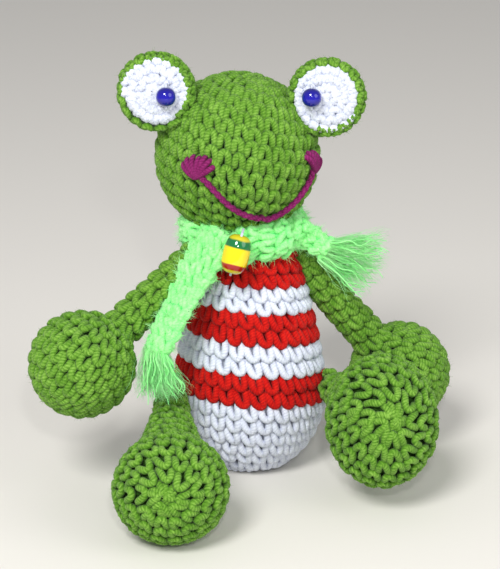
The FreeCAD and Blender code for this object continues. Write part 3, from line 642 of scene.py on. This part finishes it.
def make_eye(side, middle, look, pupil, seed):
    look = unit(look)
    middle = np.asarray(middle, float)
    across = unit(np.cross(look, (0, 0, 1)))
    outline = [(EYE_DEPTH + CUP_LIP, WHITE_RADIUS - 0.4), (EYE_DEPTH + 0.4, 11.4),
               (EYE_DEPTH - 1.6, EYE_RADIUS), (4.5, EYE_RADIUS - 0.3), (1.8, 10.6), (0.5, 8.0),
               (0.0, 4.0), (0.0, 0.0)]
    outline = smooth_line(outline, 60)
    outline[:, 0] = EYE_DEPTH + CUP_LIP - outline[:, 0]
    spine = straight(middle + (EYE_DEPTH / 2 + CUP_LIP) * look, -look, EYE_DEPTH + 2)
    skin = Skin(spine, outline, side=across)
    edges = spread(0, skin.length[-1], CUP_ROUND)
    crochet(f"{side}_eye_cup", [(skin, edges, None)], [f"{side}_eye"], seed, width=CUP_STITCH, thick=CUP_YARN)
    disc = [(WHITE_RISE * (r / WHITE_RADIUS) ** 2, r) for r in np.linspace(0, WHITE_RADIUS, 30)]
    disc += [(WHITE_RISE + 1.5, WHITE_RADIUS - 0.3)]
    spine = straight(middle + (EYE_DEPTH / 2 + WHITE_RISE) * look, -look, 6)
    white = Skin(spine, disc, side=across)
    edges = np.linspace(0, white.length[-1] - 1.0, DISC_ROUNDS + 1)
    crochet(f"{side}_eye_disc", [(white, edges, None)], [f"{side}_eye_white"], seed + 1, WHITES, "white_yarn",
            width=DISC_STITCH, thick=DISC_YARN, rise=DISC_SUNK, each=14, long=1.4)
    up = np.cross(across, look) * (1 if np.cross(across, look)[2] > 0 else -1)
    level = np.cross(up, look) * -1
    level = level * (1 if level[0] > 0 else -1)
    place = middle + look * (EYE_DEPTH / 2 + WHITE_RISE + PUPIL_OUT) + level * pupil[0] + up * pupil[1]
    make_bead(f"{side}_pupil", place, up, PUPIL_RADIUS, PUPIL_HALF, 2.2, BLUE, "blue_bead",
              f"{side}_pupil_bead")


BEAD_HOLE = 0.7


def make_bead(name, middle, axis, radius, half, power, material, slot, node_name):
    """A polished bead, rounder the nearer power is to 2, with its hole along the axis."""
    angle = np.radians(np.linspace(-78, 78, 40))
    along = half * np.sign(np.sin(angle)) * np.abs(np.sin(angle)) ** (2 / power)
    out = radius * np.cos(angle) ** (2 / power)
    profile = [(a, max(r, BEAD_HOLE)) for a, r in zip(along, out)]
    profile += [(s, BEAD_HOLE) for s in np.linspace(along[-1] - 0.3, along[0] + 0.3, 8)]
    heap = Heap()
    ring_of(heap, middle, axis, profile)
    heap.piece(name, slot, (material,), node_name)


# Mouth: two lengths of twisted yarn laid end to end as a smile, and a fan of satin stitches at each corner.
# Every point is given from the middle of the head.
SMILE = [(-12.0, -24.2, -0.6), (-9.1, -25.3, -2.8), (-6.0, -25.6, -6.2), (-2.1, -24.9, -10.3),
         (1.9, -23.5, -13.2), (6.0, -21.6, -15.0), (7.8, -20.6, -15.7), (9.7, -19.5, -16.0),
         (13.5, -18.2, -14.7), (17.5, -16.7, -11.9), (20.7, -15.2, -8.4), (22.9, -13.4, -5.0),
         (24.3, -11.8, -2.0)]
BREAK = 6
CORNERS = [((-12.5, -23.9, -1.6),
            [(-16.8, -20.9, 2.2), (-15.6, -21.7, 3.9), (-13.8, -22.7, 4.9), (-11.6, -23.8, 4.8),
             (-9.9, -24.6, 5.2), (-8.4, -25.3, 4.2), (-7.3, -25.8, 2.2)]),
           ((24.5, -11.0, -2.9),
            [(21.9, -15.4, 3.0), (22.8, -14.0, 3.9), (23.7, -12.6, 3.5), (24.5, -10.9, 3.4),
             (25.2, -9.4, 2.4), (25.9, -7.4, 0.8)])]
YARN_SEAT = 27.1
PLY_RADIUS = 0.72
PLY_APART = 0.36
PLY_PITCH = 4.4


def make_mouth():
    heap = Heap()
    for part in (SMILE[:BREAK + 1], SMILE[BREAK:]):
        line = smooth_line(part, 60)
        ends = np.linspace(0, 1, 60)
        dive = 1.3 * (np.exp(-ends / 0.04) + np.exp(-(1 - ends) / 0.04))
        line = units(line) * (YARN_SEAT - dive)[:, None]
        out = units(line)
        way = units(np.gradient(line, axis=0))
        side = np.cross(way, out)
        for ply in (0, 1):
            twist = 2 * np.pi * run_of(line) / PLY_PITCH + math.pi * ply
            swing = np.cos(twist)[:, None] * side + np.sin(twist)[:, None] * out
            tubes(heap, (line + PLY_APART * swing + HEAD_MIDDLE)[None], PLY_RADIUS, 8, out[None])
    dice = np.random.RandomState(5)
    for root, tips in CORNERS:
        for number, tip in enumerate(tips):
            t = np.linspace(0, 1, 14)[:, None]
            root_at = np.asarray(root) + dice.uniform(-0.3, 0.3, 3)
            line = root_at + (np.asarray(tip) - root_at) * t
            bow = 0.35 * np.sin(np.pi * t) - 1.5 * np.exp(-(1 - t) / 0.06)
            line = units(line) * (YARN_SEAT - 0.1 + bow + 0.12 * (number % 2))
            radii = 0.62 + 0.42 * np.sin(np.pi * (0.15 + 0.65 * t[:, 0]))
            tubes(heap, (line + HEAD_MIDDLE)[None], radii, 8, units(line)[None])
    heap.piece("mouth_stitches", "magenta_yarn", (MAGENTA_YARN,), "mouth")


# Scarf: a knitted strip of fluffy yarn round the neck, two free ends and their frayed tips
PILE_YARN = 1.15
PILE_FIBRES = 16
PILE_LENGTH = 3.2
PILE_FIBRE = 0.075
STRANDS = 54
STRAND_RADIUS = 0.42
HAIRS = 520
HAIR_RADIUS = 0.06


def scarf_skins():
    """The surfaces of the ring round the neck, of the end that hangs and of the end that is swung out."""
    tilt = math.radians(SCARF_TILT)

    def ring_at(turn):
        back = -math.cos(turn)
        return SCARF_MIDDLE + SCARF_RADIUS * np.array(
            (math.sin(turn), back * math.cos(tilt), back * math.sin(tilt)))

    ring = np.array([ring_at(turn) for turn in np.radians(np.linspace(-15, 343, 120))])
    length = run_of(ring)[-1]
    a = np.linspace(0, length, 90)
    lumpy = 6.1 + 0.5 * np.sin(a * 0.55) + 0.35 * np.sin(a * 1.27 + 1)
    ends = np.minimum(np.sqrt(np.clip(a / 3, 0, 1)), np.sqrt(np.clip((length - a) / 3, 0, 1)))
    around = Skin(ring, np.stack([a, lumpy * ends], 1), side=(0, 0, 1), squash=0.85)

    def strip(points, half, squash, side):
        spine = smooth_line(points, 60)
        length = run_of(spine)[-1]
        a = np.linspace(0, length, 50)
        shape = np.interp(a / length, np.linspace(0, 1, len(half)), half) + 0.25 * np.sin(a * 0.9)
        ends = np.minimum(np.sqrt(np.clip(a / 2, 0, 1)), np.sqrt(np.clip((length - a) / 2, 0, 1)))
        return Skin(spine, np.stack([a, shape * ends], 1), side=side, squash=squash)

    hanging = strip([(-8.5, -8.5, 82.0), (-13.5, -11.5, 75.0), (-19.6, -17.2, 66.0), (-25.0, -23.6, 56.6),
                     (-29.8, -28.2, 48.0)], (7.2, 7.0, 5.6, 5.0, 4.6), 0.5, (-0.79, 0.62, 0))
    swung = strip([(12.0, -2.5, 80.5), (17.0, -0.5, 79.0), (21.5, -1.2, 76.0), (25.5, -1.8, 73.6)],
                  (5.4, 4.2, 3.8, 4.0), 0.62, (0.1, 0, 1))
    return around, hanging, swung


def wisps(heap, dice, root, across, fall, fan, count, length, thick, steps, wave, depth, hairs=False):
    """Wavy strands or hairs that spread from the end of the scarf."""
    across, fall = unit(across), unit(fall)
    deep = np.cross(across, fall)
    share = dice.uniform(-1, 1, count)
    lift = dice.normal(0, depth, count)
    base = np.asarray(root) + 3.6 * share[:, None] * across + 1.2 * lift[:, None] * deep - 1.5 * fall
    way = fall + math.tan(math.radians(fan)) * (share + 0.12 * dice.normal(0, 1, count))[:, None] * across
    way = units(way + 0.3 * lift[:, None] * deep)
    long = (length + 1.5) * dice.uniform(0.72, 1.0, count) * (1 - 0.12 * np.abs(share))
    t = np.linspace(0, 1, steps)
    phase = dice.uniform(0, 6.28, (2, count, 1))
    pace = dice.uniform(0.7, 1.3, (count, 1))
    swing = wave * t[None] * np.sin(pace * 9 * t[None] + phase[0])
    sway = wave * 0.7 * t[None] * np.sin(pace * 11 * t[None] + phase[1])
    lines = base[:, None, :] + (long[:, None] * t[None])[..., None] * way[:, None, :]
    lines = lines + swing[..., None] * across + sway[..., None] * deep
    if hairs:
        needles(heap, lines, thick, 1)
    else:
        tubes(heap, lines, (thick * (1 - 0.75 * t))[None], 5, deep, 0)


def make_scarf():
    dice = np.random.RandomState(61)
    skins = scarf_skins()
    band = Heap()
    for skin in skins:
        # the strip under the pile: the scarf's body, a little darker as painted shade
        skin.core(band, 0.9, 0, rows=60, columns=24)
    strip = band.piece("scarf_strip", "scarf_yarn", (SCARF_STRIP_PAINTED_SHADE,), "scarf")
    pile = Heap()
    for skin, width, height in zip(skins, (4.4, 4.0, 3.6), (3.9, 3.9, 3.6)):
        edges = spread(0.8, skin.length[-1] - 0.6, height)
        lines, outs, _ = stitch_lines(skin, edges, width, dice, wild=3.0, rise=-1.0, spiral=-0.3)
        tubes(pile, lines, PILE_YARN, 6, outs, 0)
        fuzz(pile, lines, outs, dice, PILE_FIBRES, PILE_LENGTH, PILE_FIBRE, 1)
    loops = pile.piece("scarf_pile", "scarf_yarn", (SCARF_YARN, SCARF_FIBRE), "scarf")
    for side, root, across, fall, fan, length in (
            ("right", (-29.3, -27.9, 48.5), (-0.79, 0.62, 0), (0.14, -0.347, -0.927), 16, 17),
            ("left", (24.5, -1.6, 73.4), (-0.387, 0.126, -0.914), (0.963, -0.118, -0.242), 20, 21)):
        heap = Heap()
        wisps(heap, dice, root, across, fall, fan, STRANDS, length, STRAND_RADIUS, 16, 1.3, 0.5)
        wisps(heap, dice, root, across, fall, fan * 1.25, HAIRS, length * 1.06, HAIR_RADIUS, 8, 1.8, 0.7,
              hairs=True)
        heap.piece(f"{side}_fringe_tips", "scarf_yarn", (SCARF_YARN, SCARF_FIBRE),
                               f"{side}_scarf_fringe")


def finish_node(name, material):
    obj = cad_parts[name]
    obj = bpy.data.objects[obj] if isinstance(obj, str) else obj
    obj.data.materials.clear()
    obj.data.materials.append(material)


# Floor, light and camera
def make_floor():
    bpy.ops.mesh.primitive_plane_add(size=8, location=(0, 0, 0))
    floor = bpy.context.object
    floor.name = "floor"
    material, _, shader = new_material("floor", 0.9)
    shader.inputs["Base Color"].default_value = srgb(228, 224, 217)
    floor.data.materials.append(material)


def lamp(name, place, aim, size, power):
    """A round lamp that looks at the height aim over the middle of the floor."""
    data = bpy.data.lights.new(name, "AREA")
    data.shape = "DISK"
    data.size = size
    data.energy = power
    obj = bpy.data.objects.new(name, data)
    obj.location = place
    obj.rotation_mode = "QUATERNION"
    obj.rotation_quaternion = (Vector((0, 0, aim)) - Vector(place)).to_track_quat("-Z", "Y")
    bpy.context.scene.collection.objects.link(obj)


def make_light():
    lamp("key", (-0.30, -0.80, 0.85), 0.06, 0.40, 10.5)
    lamp("fill", (0.9, -0.6, 0.6), 0.06, 0.8, 3.6)
    lamp("near_camera", (0.02, -0.56, 0.33), 0.07, 0.03, 0.8)
    world = bpy.data.worlds.new("studio")
    world.use_nodes = True
    back = world.node_tree.nodes["Background"]
    back.inputs["Color"].default_value = (0.97, 0.98, 1.0, 1)
    back.inputs["Strength"].default_value = 0.46
    bpy.context.scene.world = world


CAMERA_TARGET = Vector((0, 0, 0.0615))
CAMERA_DISTANCE = 0.595
CAMERA_LIFT = 18.0


def make_camera():
    lift = math.radians(CAMERA_LIFT)
    back = Vector((0, -math.cos(lift), math.sin(lift)))
    data = bpy.data.cameras.new("camera")
    data.lens = 116.7
    data.sensor_width = 36
    camera = bpy.data.objects.new("camera", data)
    camera.location = CAMERA_TARGET + CAMERA_DISTANCE * back
    camera.rotation_mode = "QUATERNION"
    camera.rotation_quaternion = (-back).to_track_quat("-Z", "Y")
    bpy.context.scene.collection.objects.link(camera)
    bpy.context.scene.camera = camera


make_camera()
make_light()
make_floor()
make_head()
make_body()
make_arm("right_arm", (-8.3, 1.4, 79), (-52.1, -28.1, 44.7), 31)
make_arm("left_arm", (9.9, 8.2, 75), (50.1, 13.2, 26.7), 32)
make_leg("right_leg", (-25.7, -3.8, 30.0), (-23.65, -59.95, 16.92), (-0.0674, -0.9636, 0.2588), 0.96, 41)
make_leg("left_leg", (24.9, -6.4, 30.0), (41.0, -34.0, 28.0), (0.145, -0.9158, 0.3746), 1.18, 42)
make_eye("right", (-28.9, -0.6, 125.1), (-0.0515, -0.9835, 0.1736), (3.7, -1.4), 51)
make_eye("left", (23.8, 3.6, 122.3), (0.0515, -0.9835, 0.1736), (-5.3, 0.2), 53)
make_mouth()
make_scarf()
make_bead("scarf_barrel", np.array((-4.3, -19.1, 77.6)), (0.25, 0.20, 0.947), 4.2, 6.2, 3.0, YELLOW_BEAD,
          "yellow_bead", "scarf_bead")
for part in ("right_pupil_thread", "left_pupil_thread", "scarf_bead_thread"):
    finish_node(part, THREAD)

scene = bpy.context.scene
scene.view_settings.view_transform = "Standard"
